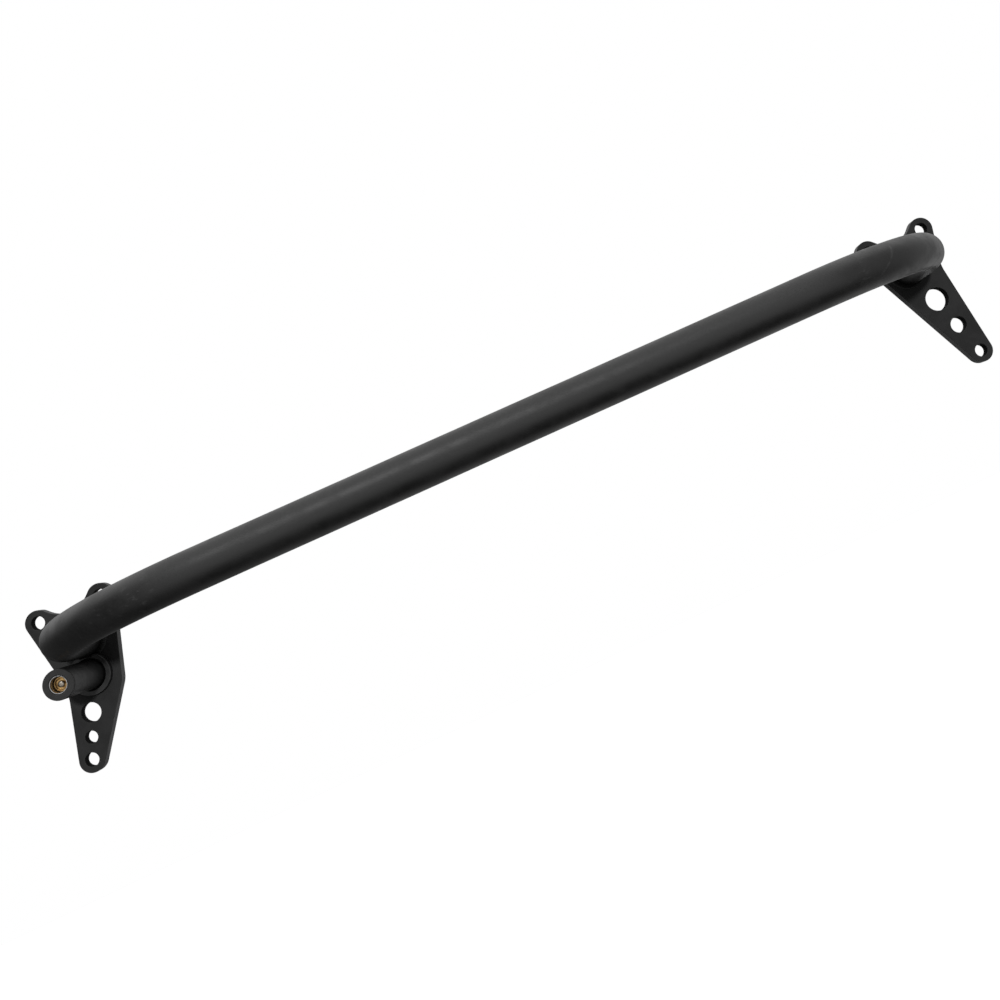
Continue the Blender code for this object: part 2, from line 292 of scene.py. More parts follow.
def belt(circles, spacing):
    """A plate's outline as a belt round circles (x, y, r), r < 0 where the edge is hollow.

    The belt runs anticlockwise, and a straight stretch is the common tangent of two circles:
    its heading h has sin(turn) = (r2 - r1) / distance. The edge is at c + r (sin h, -cos h),
    and (sin h, -cos h) is its outward normal. Returns points and normals, evenly spaced.
    """
    circles = np.array(circles)
    following = np.roll(circles, -1, 0)
    span = following - circles
    length = np.hypot(span[:, 0], span[:, 1])
    headings = np.arctan2(span[:, 1], span[:, 0]) - np.arcsin(span[:, 2] / length)
    points, normals = [], []
    for i, (x, y, r) in enumerate(circles):
        sweep = (headings[i] - headings[i - 1] + math.pi) % TAU - math.pi
        if r * sweep < 0:
            sweep += math.copysign(TAU, r)
        steps = max(3, round(abs(sweep * r) / spacing))
        heading = headings[i - 1] + sweep * np.linspace(0, 1, steps)
        out = np.stack([np.sin(heading), -np.cos(heading)], -1)
        arc = np.array([x, y]) + r * out
        start = following[i, :2] + following[i, 2] * out[-1]
        steps = max(2, round(np.linalg.norm(start - arc[-1]) / spacing))
        run = arc[-1] + (start - arc[-1]) * (np.arange(1, steps) / steps)[:, None]
        points += [arc, run]
        normals += [out, np.repeat(out[-1:], steps - 1, 0)]
    return np.concatenate(points), np.concatenate(normals)


def ring(x, y, radius, sides=72):
    """A hole's edge, with normals that point out of the metal, towards the hole's middle."""
    turn = np.arange(sides) * TAU / sides
    out = np.stack([np.cos(turn), np.sin(turn)], -1)
    return np.array([x, y]) + radius * out, -out


def plate(name, side, waist, shoulders, lightening, nick=None):
    """A flat plate: each edge is carried through the thickness with its arrises dulled.

    At angle t round an arris of radius e the edge stands e (1 - sin t) in from the outline
    and e (1 - cos t) below the face. The faces fill what the outline and the holes leave.
    nick is (out, up, radius, bite) of a dent in the front arris.
    """
    circles = [(*LOWER_BOLT, LOBE_R), waist, (*OUTER_BOLT, LOBE_R), TOP_WAIST,
               (*INNER_BOLT, LOBE_R), *shoulders]
    bolts = [(*place, BOLT_R) for place in (LOWER_BOLT, OUTER_BOLT, INNER_BOLT)]
    edges = [belt(circles, 1.1 * MM)] + [ring(*hole) for hole in bolts + lightening]
    t = np.linspace(0, math.pi / 2, 6)
    inset = PLATE_EDGE * (1 - np.sin(t))
    depth = PLATE_EDGE * (1 - np.cos(t))
    walls = np.linspace(PLATE_EDGE * 1.6, PLATE_T - PLATE_EDGE * 1.6, 9)
    inset = np.concatenate([[1.9 * PLATE_EDGE], inset, np.zeros(len(walls)),
                            inset[::-1], [1.9 * PLATE_EDGE]])[:, None, None]
    depth = np.concatenate([[0], depth, walls, PLATE_T - depth[::-1], [PLATE_T]])
    arris = np.array([0, 0.3, 1, 1, 1, 0.6, 0.1])
    mark = np.concatenate([arris, np.zeros(len(walls)), arris[::-1]])
    # the wall between the arrises is marked -1, where the cut's fine lines show and a painted
    # highlight lightens the coat for the side light on it, and -2 in a hole, where painted shade
    # darkens it and it is duller
    mark[len(arris):-len(arris)] = -1
    deep = np.where(mark < 0, -2, np.minimum(mark, 0.4))
    rows = len(depth)
    points, quads, marks, fronts, first = [], [], [], [], 0
    for outline, out in edges:
        flat = outline[None] - inset * out[None]
        if nick is not None and first == 0:
            far = np.hypot(flat[..., 0] - nick[0], flat[..., 1] - nick[1])
            bite = nick[3] * np.exp(-(far / nick[2]) ** 2 - (depth[:, None] / (1.6 * nick[2])) ** 2)
            flat = flat - bite[..., None] * out[None]
        across = np.broadcast_to(depth[:, None], flat.shape[:2])
        solid = np.stack([side * (LEG_X + flat[..., 0]), FACE_Y + across, flat[..., 1]], -1)
        points.append(solid.reshape(-1, 3))
        quads.append(first + grid_faces(rows, len(outline)))
        marks.append(np.repeat(mark if first == 0 else deep, len(outline)))
        fronts.append(first + np.arange(len(outline)))
        first += solid.shape[0] * solid.shape[1]
    points = np.concatenate(points)
    lips = [[Vector(p) for p in points[front]] for front in fronts]
    fill = np.array(tessellate_polygon(lips))
    front = np.concatenate(fronts)[fill]
    backs = np.concatenate([ids + (rows - 1) * len(ids) for ids in fronts])[fill]
    return skin(name, points, np.concatenate(quads), np.concatenate([front, backs]),
                np.concatenate(marks))


# ---------------------------------------------------------------- welds, peg and plunger

def weld_ring(name, x, z, inner, leg, height, face_y, ripple, sides=260):
    """A fillet bead round a foot: from the wall at radius inner to the plate at inner + leg(a).

    Across the bead, at t from 0 to 1, the surface is the hollow curve that leaves the wall
    and meets the plate without a step: reach t^1.4 out and height (1 - t)^1.4 up. Crescent
    ripples of the running arc are added to it, and one row closes it in the corner.
    """
    turn = np.arange(sides)[None, :] * TAU / sides
    reach = leg(turn)
    t = np.linspace(0, 1, 16)[:, None]
    phase = turn * inner / ripple - 0.9 * (2 * t - 1) ** 2
    wave = 0.04 * np.sin(TAU * phase + 0.8 * np.sin(5 * turn)) * np.sin(math.pi * t)
    radius = inner + reach * (t ** 1.4 + wave)
    rise = height * np.minimum(reach / reach.max() * 1.15, 1) * ((1 - t) ** 1.4 + wave)
    rise = np.maximum(rise, 0.12 * MM * (1 - t) + 0.04 * MM)
    corner_r = np.full((1, sides), inner)
    corner_h = np.full((1, sides), 0.04 * MM)
    radius = np.concatenate([radius, corner_r])
    rise = np.concatenate([rise, corner_h])
    points = np.stack([x + radius * np.cos(turn), face_y - rise, z + radius * np.sin(turn)], -1)
    return skin(name, points.reshape(-1, 3), grid_faces(len(radius), sides, ring_rows=True))


def ray_to_circle(turn, from_x, from_z, to_x, to_z, radius):
    """Distance from one point, in direction a, to a circle round another; far where it misses.

    With d the distance between the centres and b the angle off the line that joins them, it
    is d cos b - sqrt(r^2 - d^2 sin^2 b).
    """
    d = math.hypot(to_x - from_x, to_z - from_z)
    off = turn - math.atan2(to_z - from_z, to_x - from_x)
    under = radius ** 2 - (d * np.sin(off)) ** 2
    hit = d * np.cos(off) - np.sqrt(np.maximum(under, 0))
    return np.where((under > 0) & (np.cos(off) > 0), hit, 1.0)


def leg_weld(name, side, near_collar):
    """The bead round a leg's foot, which narrows to nothing where the collar stands."""
    inner = TUBE_R + GAP

    def leg(turn):
        room = np.full_like(turn, WELD_LEG * 0.94)
        if near_collar:
            free = ray_to_circle(turn, -LEG_X, 0, PEG_X, PEG_Z, COLLAR_R + 2 * GAP) - inner
            room = np.minimum(room, np.maximum(free, 0.1 * MM))
        return room

    return weld_ring(name, side * LEG_X, 0, inner, leg, WELD_LEG * 0.97, FACE_Y, 2.1 * MM)


def collar():
    """The ring round the peg's foot, cut back where it meets the leg."""
    def relieve(radius, depth, turn):
        wall = ray_to_circle(turn, PEG_X, PEG_Z, -LEG_X, 0, TUBE_R + 2 * GAP)
        return np.minimum(radius, np.maximum(wall, COLLAR_BORE_R)), depth

    rim = 0.7 * MM
    profile = [(COLLAR_BORE_R, -COLLAR_H, 0.5 * MM), (COLLAR_R, -COLLAR_H, rim),
               (COLLAR_R, -GAP), (COLLAR_BORE_R, -GAP)]
    return turned("collar_ring", profile, FACE_Y, 220, shape=relieve)


def peg_weld():
    """The narrow bead that fills the foot of the gap between the peg and its collar."""
    inner, outer = PEG_R + GAP, COLLAR_BORE_R - GAP

    def ripple(radius, depth, turn):
        across = (radius - inner) / (outer - inner)
        wave = 0.22 * MM * np.sin(TAU * (turn * inner / (1.9 * MM) - 0.5 * across))
        lift = wave * np.sin(math.pi * across) - 0.1 * MM
        return radius, depth + np.where(depth < -1.2 * MM, lift, 0)

    profile = [(inner, -3.4 * MM), (0.6 * inner + 0.4 * outer, -2.4 * MM, 0.8 * MM),
               (outer, -2.4 * MM), (outer, -GAP), (inner, -GAP)]
    return turned("peg_foot_weld", profile, FACE_Y, 260, shape=ripple)


def peg_tube():
    """The peg's tube, with a chamfer behind the bush's flange that leaves a fine groove."""
    front, back = BUSH_FLANGE_T + GAP, PEG_LENGTH - GAP
    profile = [(PEG_BORE_R, front), (PEG_R - 0.55 * MM, front), (PEG_R, front + 0.55 * MM),
               (PEG_R, back), (PEG_BORE_R, back)]
    return turned("peg_sleeve", profile, PEG_END_Y, 160)


def end_bush():
    """The top-hat bush: a flat flange with turned edges, and a spigot inside the peg."""
    spigot = PEG_BORE_R - GAP
    profile = [(BUSH_BORE_R + 0.6 * MM, 0), (PEG_R - 0.5 * MM, 0, 0.25 * MM),
               (PEG_R, 0.5 * MM, 0.2 * MM), (PEG_R, BUSH_FLANGE_T - 0.35 * MM),
               (PEG_R - 0.35 * MM, BUSH_FLANGE_T), (spigot, BUSH_FLANGE_T), (spigot, BUSH_LENGTH),
               (BUSH_BORE_R, BUSH_LENGTH), (BUSH_BORE_R, 0.6 * MM)]
    return turned("end_flange", profile, PEG_END_Y, 160)


def plunger_sleeve():
    """The bright lining of the peg's mouth, in whose depth the plunger sits."""
    back = SLEEVE_DEPTH + SLEEVE_LENGTH
    profile = [(SLEEVE_BORE_R, SLEEVE_DEPTH, 0.25 * MM), (SLEEVE_R, SLEEVE_DEPTH, 0.2 * MM),
               (SLEEVE_R, back), (SLEEVE_BORE_R, back)]
    return turned("mouth_lining", profile, PEG_END_Y, 128)


def plunger_body():
    """The plunger's threaded body: a thread of 1 mm pitch runs down its outside.

    The thread takes 0.12 mm off the radius as a sawtooth wave of depth / pitch - turn / 2 pi.
    """
    face, back = BODY_DEPTH, BODY_DEPTH + BODY_LENGTH
    wall = face + FRONT_WALL
    crests = [(BODY_R, face + 0.8 * MM + k * 0.25 * MM, 0.02 * MM) for k in range(100)]
    profile = [(3.2 * MM, face + 1.6 * MM), (5.2 * MM, face + 1.6 * MM, 0.3 * MM),
               (5.6 * MM, face, 0.25 * MM), (BODY_R - 0.6 * MM, face, 0.2 * MM),
               (BODY_R - 0.05 * MM, face + 0.55 * MM), *crests, (BODY_R, back), (CAVITY_R, back),
               (CAVITY_R, wall), (3.2 * MM, wall)]

    def thread(radius, depth, turn):
        tooth = np.abs(((depth / (1.0 * MM) - turn / TAU) % 1) - 0.5) * 2
        on = (radius > BODY_R - 0.02 * MM) & (depth > face + 0.8 * MM) & (depth < back - 1.2 * MM)
        return radius - on * 0.12 * MM * tooth, depth

    return turned("plunger_barrel", profile, PEG_END_Y, 96, shape=thread)


def plunger_pin():
    """The nose that slides in the body: a domed tip, a plain shank and a shoulder behind."""
    shoulder = BODY_DEPTH + FRONT_WALL + 0.05 * MM
    tip = NOSE_DEPTH
    dome = np.linspace(0, 0.48 * math.pi, 9)
    domed = [(NOSE_R * math.sin(a), tip + 1.3 * MM * (1 - math.cos(a))) for a in dome]
    profile = [*domed, (NOSE_R, tip + 1.35 * MM), (NOSE_R, shoulder),
               (4.8 * MM, shoulder, 0.3 * MM),
               (4.8 * MM, shoulder + 2.4 * MM, 0.3 * MM), (2.4 * MM, shoulder + 2.4 * MM),
               (2.4 * MM, shoulder + 8 * MM, 0.5 * MM), (0, shoulder + 8 * MM)]
    return turned("plunger_nose", profile, PEG_END_Y, 96, default=0.05 * MM)


def plunger_plug():
    """The disc that closes the body behind the spring, with a hollow for its key."""
    back = BODY_DEPTH + BODY_LENGTH
    face = back - PLUG_T
    rim = CAVITY_R - GAP
    profile = [(0, face), (rim, face, 0.3 * MM), (rim, back, 0.4 * MM), (2.2 * MM, back),
               (1.9 * MM, back - 1.6 * MM), (0, back - 1.6 * MM)]
    return turned("plunger_end_plug", profile, PEG_END_Y, 96)


def plunger_spring():
    """A round-wire coil: the wire's circle carried along (R cos a, depth, R sin a).

    Each end closes on its own middle.
    """
    shoulder = BODY_DEPTH + FRONT_WALL + 2.45 * MM
    start = shoulder + GAP + SPRING_WIRE_R
    stop = BODY_DEPTH + BODY_LENGTH - PLUG_T - GAP - SPRING_WIRE_R
    part = np.linspace(0, 1, 320)[:, None]
    turn = TAU * SPRING_TURNS * part
    depth = start + (stop - start) * part
    around = np.arange(14)[None, :] * TAU / 14
    wire = np.full_like(part, SPRING_WIRE_R)
    wire[[0, -1]] = 0
    radius = SPRING_R + wire * np.cos(around)
    points = np.stack([PEG_X + radius * np.cos(turn), PEG_END_Y + depth + wire * np.sin(around),
                       PEG_Z + radius * np.sin(turn)], -1)
    return skin("plunger_coil", points.reshape(-1, 3), grid_faces(len(part), 14))


# ---------------------------------------------------------------- finishes

def add(tree, kind, sets=None, **props):
    """A shader node with its settings, its constant inputs and its linked inputs."""
    node = tree.nodes.new("ShaderNode" + kind)
    for key, value in props.items():
        setattr(node, key, value)
    for key, value in (sets or {}).items():
        if isinstance(value, bpy.types.NodeSocket):
            tree.links.new(value, node.inputs[key])
        else:
            node.inputs[key].default_value = value
    return node


def math_node(tree, operation, *values, clamp=False):
    node = add(tree, "Math", dict(enumerate(values)), operation=operation, use_clamp=clamp)
    return node.outputs[0]


def ramp(tree, value, low, high, to_low=0.0, to_high=1.0):
    """A smooth step of value from low to high, from to_low to to_high."""
    node = add(tree, "MapRange", {"Value": value, "From Min": low, "From Max": high,
                                  "To Min": to_low, "To Max": to_high},
               interpolation_type="SMOOTHSTEP")
    return node.outputs["Result"]


def new_group(name, inputs, outputs):
    """An empty node group with named inputs (name, type, default) and float outputs."""
    tree = bpy.data.node_groups.new(name, "ShaderNodeTree")
    for label, kind, default in inputs:
        socket = tree.interface.new_socket(label, in_out="INPUT", socket_type="NodeSocket" + kind)
        if default is not None:
            socket.default_value = default
    for label in outputs:
        tree.interface.new_socket(label, in_out="OUTPUT", socket_type="NodeSocketFloat")
    return tree, tree.nodes.new("NodeGroupInput"), tree.nodes.new("NodeGroupOutput")


def powder_coat_group():
    """Powder coat: orange peel of about a millimetre, a fine grain, and a cloudy gloss."""
    tree, given, out = new_group("powder_coat", [
        ("Vector", "Vector", None), ("Peel Scale", "Float", 640.0),
        ("Grain Scale", "Float", 2600.0), ("Cloud Scale", "Float", 42.0)],
        ("Height", "Cloud", "Speckle"))
    vector = given.outputs["Vector"]
    peel = add(tree, "TexNoise", {"Vector": vector, "Scale": given.outputs["Peel Scale"],
                                  "Detail": 1.5, "Roughness": 0.45})
    grain = add(tree, "TexNoise", {"Vector": vector, "Scale": given.outputs["Grain Scale"],
                                   "Detail": 2.0, "Roughness": 0.6})
    cloud = add(tree, "TexNoise", {"Vector": vector, "Scale": given.outputs["Cloud Scale"],
                                   "Detail": 5.0, "Roughness": 0.62, "Distortion": 0.4})
    height = math_node(tree, "MULTIPLY_ADD", grain.outputs["Fac"], 0.35,
                       math_node(tree, "MULTIPLY", peel.outputs["Fac"], 0.65))
    tree.links.new(height, out.inputs["Height"])
    tree.links.new(ramp(tree, cloud.outputs["Fac"], 0.3, 0.7), out.inputs["Cloud"])
    tree.links.new(ramp(tree, grain.outputs["Fac"], 0.56, 0.74), out.inputs["Speckle"])
    return tree


def edge_wear_group():
    """Wear along dulled edges: the edge mask broken up by a noise, more of it as Amount grows."""
    tree, given, out = new_group("edge_wear", [
        ("Vector", "Vector", None), ("Edge", "Float", 0.0), ("Amount", "Float", 0.5)], ("Mask",))
    noise = add(tree, "TexNoise", {"Vector": given.outputs["Vector"], "Scale": 170.0, "Detail": 6.0,
                                   "Roughness": 0.7})
    level = math_node(tree, "ADD", noise.outputs["Fac"],
                      math_node(tree, "MULTIPLY", given.outputs["Amount"], 0.5))
    broken = ramp(tree, level, 0.62, 0.86)
    edge = math_node(tree, "MAXIMUM", given.outputs["Edge"], 0.0)
    tree.links.new(math_node(tree, "MULTIPLY", broken, edge), out.inputs["Mask"])
    return tree


def settled_dust_group():
    """Dust on what faces up: a smooth step of the normal's height times a soft noise."""
    tree, given, out = new_group("settled_dust", [
        ("Vector", "Vector", None), ("Amount", "Float", 0.3)], ("Mask",))
    geometry = add(tree, "NewGeometry")
    up = add(tree, "SeparateXYZ", {"Vector": geometry.outputs["Normal"]})
    noise = add(tree, "TexNoise", {"Vector": given.outputs["Vector"], "Scale": 320.0, "Detail": 6.0,
                                   "Roughness": 0.75})
    lying = math_node(tree, "MULTIPLY", ramp(tree, up.outputs["Z"], 0.35, 1.0),
                      ramp(tree, noise.outputs["Fac"], 0.42, 0.7))
    tree.links.new(math_node(tree, "MULTIPLY", lying, given.outputs["Amount"]), out.inputs["Mask"])
    return tree


def rub_marks_group():
    """Faint rubs round one place: stretched noise that fades with the distance from it."""
    tree, given, out = new_group("rub_marks", [
        ("Vector", "Vector", None), ("Place", "Vector", None), ("Reach", "Float", 0.03),
        ("Stretch", "Vector", (120.0, 120.0, 420.0))], ("Mask",))
    away = add(tree, "VectorMath", {0: given.outputs["Vector"], 1: given.outputs["Place"]},
               operation="DISTANCE")
    near = math_node(tree, "SUBTRACT", 1.0, math_node(tree, "DIVIDE", away.outputs["Value"],
                                                      given.outputs["Reach"]), clamp=True)
    stretched = add(tree, "VectorMath", {0: given.outputs["Vector"], 1: given.outputs["Stretch"]},
                    operation="MULTIPLY")
    noise = add(tree, "TexNoise", {"Vector": stretched.outputs["Vector"], "Scale": 1.0,
                                   "Detail": 5.0, "Roughness": 0.65})
    streak = ramp(tree, noise.outputs["Fac"], 0.55, 0.72)
    tree.links.new(math_node(tree, "MULTIPLY", streak, near), out.inputs["Mask"])
    return tree


def turning_rings_group():
    """Fine rings left by turning: noise along the distance from the turning axis."""
    tree, given, out = new_group("turning_rings", [
        ("Vector", "Vector", None), ("Axis Place", "Vector", None), ("Rings", "Float", 9000.0)],
        ("Height", "Shade"))
    local = add(tree, "VectorMath", {0: given.outputs["Vector"], 1: given.outputs["Axis Place"]},
                operation="SUBTRACT")
    parts = add(tree, "SeparateXYZ", {"Vector": local.outputs["Vector"]})
    flat = add(tree, "CombineXYZ", {"X": parts.outputs["X"], "Y": 0.0, "Z": parts.outputs["Z"]})
    radius = add(tree, "VectorMath", {0: flat.outputs["Vector"]}, operation="LENGTH")
    along = math_node(tree, "ADD", radius.outputs["Value"], parts.outputs["Y"])
    noise = add(tree, "TexNoise", {"W": along, "Scale": given.outputs["Rings"], "Detail": 2.0},
                noise_dimensions="1D")
    tree.links.new(noise.outputs["Fac"], out.inputs["Height"])
    tree.links.new(ramp(tree, noise.outputs["Fac"], 0.35, 0.65), out.inputs["Shade"])
    return tree


def cut_lines_group():
    """Fine lines through the thickness of a cut plate: noise stretched along Y on its wall."""
    tree, given, out = new_group("cut_lines", [
        ("Vector", "Vector", None), ("Edge", "Float", 0.0)], ("Height",))
    stretched = add(tree, "VectorMath", {0: given.outputs["Vector"], 1: (1500.0, 70.0, 1500.0)},
                    operation="MULTIPLY")
    noise = add(tree, "TexNoise", {"Vector": stretched.outputs["Vector"], "Scale": 1.0,
                                   "Detail": 2.0})
    wall = math_node(tree, "MULTIPLY", given.outputs["Edge"], -1.0, clamp=True)
    tree.links.new(math_node(tree, "MULTIPLY", noise.outputs["Fac"], wall), out.inputs["Height"])
    return tree


GROUPS = {"powder": powder_coat_group(), "wear": edge_wear_group(), "dust": settled_dust_group(),
          "rubs": rub_marks_group(), "rings": turning_rings_group(), "lines": cut_lines_group()}


def use_group(tree, key, **sets):
    node = add(tree, "Group", node_tree=GROUPS[key])
    for label, value in sets.items():
        socket = node.inputs[label.replace("_", " ")]
        if isinstance(value, bpy.types.NodeSocket):
            tree.links.new(value, socket)
        else:
            socket.default_value = value
    return node


def new_material(name, **constants):
    """A material with its Principled shader, and Object coordinates to hang patterns on."""
    mat = bpy.data.materials.new(name)
    mat.use_nodes = True
    tree = mat.node_tree
    shader = tree.nodes["Principled BSDF"]
    for label, value in constants.items():
        shader.inputs[label.replace("_", " ")].default_value = value
    vector = add(tree, "TexCoord").outputs["Object"]
    return mat, tree, shader, vector


WORN_GREY = 0.014            # how light rubbed coat, dust, cut edges and hole walls are
DUST_GREY = 0.07
# painted highlight: how light the plates' cut walls are painted, for the side light that falls on
# them
CUT_WALL_PAINTED_HIGHLIGHT = 0.06
# painted shade: how dark the hole walls are painted, for the shade inside the holes
HOLE_PAINTED_SHADE = 0.003


def grey(value, tint=(1.0, 1.0, 1.0)):
    return (value * tint[0], value * tint[1], value * tint[2], 1.0)


def black_coat(name, dark, light, rough, gloss, peel=0.5, wear=0.4, dust=0.25, lines=0.0,
               rubs=(), clouds=42.0):
    """Satin black powder coat: peel in the bump, clouds in colour and gloss, worn edges, dust.

    rubs lists (place, reach, stretch). Where the edge mask is -1, on a cut edge, the coat is
    painted a shade lighter, a painted highlight for the side light on the cut walls, and where
    it is -2, in a hole, painted darker, painted shade inside the hole, and duller.
    """
    mat, tree, shader, vector = new_material(name, Specular_IOR_Level=gloss)
    coat = use_group(tree, "powder", Vector=vector, Cloud_Scale=clouds)
    edge = add(tree, "Attribute", attribute_name="edge").outputs["Fac"]
    worn = use_group(tree, "wear", Vector=vector, Edge=edge, Amount=wear).outputs["Mask"]
    dusty = use_group(tree, "dust", Vector=vector, Amount=dust).outputs["Mask"]
    color = add(tree, "Mix", {"Factor": coat.outputs["Cloud"], "A": grey(dark), "B": grey(light)},
                data_type="RGBA")
    speckle = math_node(tree, "MULTIPLY", coat.outputs["Speckle"], 0.35)
    color = add(tree, "Mix", {"Factor": speckle, "A": color.outputs["Result"],
                              "B": grey(light * 2.2)}, data_type="RGBA")
    marks = math_node(tree, "MULTIPLY", worn, 0.65)
    for place, reach, stretch in rubs:
        mask = use_group(tree, "rubs", Vector=vector, Place=place, Reach=reach, Stretch=stretch)
        marks = math_node(tree, "MAXIMUM", marks, mask.outputs["Mask"])
    color = add(tree, "Mix", {"Factor": marks, "A": color.outputs["Result"], "B": grey(WORN_GREY)},
                data_type="RGBA")
    color = add(tree, "Mix", {"Factor": dusty, "A": color.outputs["Result"],
                              "B": grey(DUST_GREY, (1.0, 0.98, 0.94))}, data_type="RGBA")
    inside = math_node(tree, "MULTIPLY_ADD", edge, -1.0, -1.0, clamp=True)
    wall = math_node(tree, "SUBTRACT", math_node(tree, "MULTIPLY", edge, -1.0, clamp=True), inside)
    # painted highlight: the plates' cut walls are painted lighter for the side light that falls on
    # them
    color = add(tree, "Mix", {"Factor": wall, "A": color.outputs["Result"], "B": grey(CUT_WALL_PAINTED_HIGHLIGHT)},
                data_type="RGBA")
    # painted shade: the hole walls are painted darker for the shade inside the holes
    color = add(tree, "Mix", {"Factor": inside, "A": color.outputs["Result"], "B": grey(HOLE_PAINTED_SHADE)},
                data_type="RGBA")
    tree.links.new(color.outputs["Result"], shader.inputs["Base Color"])
    roughness = ramp(tree, coat.outputs["Cloud"], 0.0, 1.0, rough - 0.05, rough + 0.06)
    roughness = math_node(tree, "MULTIPLY_ADD", inside, 0.4, roughness)
    roughness = math_node(tree, "SUBTRACT", roughness, math_node(tree, "MULTIPLY", marks, 0.1))
    roughness = math_node(tree, "MULTIPLY_ADD", dusty, 0.5, roughness, clamp=True)
    tree.links.new(roughness, shader.inputs["Roughness"])
    height = coat.outputs["Height"]
    if lines:
        cut = use_group(tree, "lines", Vector=vector, Edge=edge).outputs["Height"]
        height = math_node(tree, "MULTIPLY_ADD", cut, lines, height)
    bump = add(tree, "Bump", {"Height": height, "Strength": peel, "Distance": 0.00012})
    tree.links.new(bump.outputs["Normal"], shader.inputs["Normal"])
    return mat


def turned_metal(name, color, deep, rough):
    """Turned metal: rings in the bump and the gloss, a duller film in clouds."""
    mat, tree, shader, vector = new_material(name, Metallic=1.0)
    rings = use_group(tree, "rings", Vector=vector, Axis_Place=(PEG_X, PEG_END_Y, PEG_Z))
    film = add(tree, "TexNoise", {"Vector": vector, "Scale": 420.0, "Detail": 5.0,
                                  "Roughness": 0.6})
    stain = ramp(tree, film.outputs["Fac"], 0.4, 0.68)
    mixed = add(tree, "Mix", {"Factor": stain, "A": color, "B": deep}, data_type="RGBA")
    mixed = add(tree, "Mix", {"Factor": math_node(tree, "MULTIPLY", rings.outputs["Shade"], 0.18),
                              "A": mixed.outputs["Result"], "B": deep}, data_type="RGBA")
    tree.links.new(mixed.outputs["Result"], shader.inputs["Base Color"])
    tree.links.new(ramp(tree, film.outputs["Fac"], 0.3, 0.75, rough - 0.05, rough + 0.12),
                   shader.inputs["Roughness"])
    bump = add(tree, "Bump", {"Height": rings.outputs["Height"], "Strength": 0.25,
                              "Distance": 0.00004})
    tree.links.new(bump.outputs["Normal"], shader.inputs["Normal"])
    return mat


def drawn_wire(name):
    """Spring wire: bright steel with fine lines that run with the coil's turns."""
    mat, tree, shader, vector = new_material(name, Metallic=1.0)
    stretched = add(tree, "VectorMath", {0: vector, 1: (300.0, 9000.0, 300.0)},
                    operation="MULTIPLY")
    noise = add(tree, "TexNoise", {"Vector": stretched.outputs["Vector"], "Scale": 1.0,
                                   "Detail": 3.0})
    color = add(tree, "Mix", {"Factor": noise.outputs["Fac"], "A": (0.7, 0.69, 0.66, 1),
                              "B": (0.45, 0.44, 0.42, 1)}, data_type="RGBA")
    tree.links.new(color.outputs["Result"], shader.inputs["Base Color"])
    tree.links.new(ramp(tree, noise.outputs["Fac"], 0.3, 0.7, 0.2, 0.36),
                   shader.inputs["Roughness"])
    bump = add(tree, "Bump", {"Height": noise.outputs["Fac"], "Strength": 0.3,
                              "Distance": 0.00002})
    tree.links.new(bump.outputs["Normal"], shader.inputs["Normal"])
    return mat


# ---------------------------------------------------------------- the whole bar

def place_piece(piece, node, mat, body="frame"):
    piece.data.materials.clear()
    piece.data.materials.append(mat)
    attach(piece, body)
    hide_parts(node)


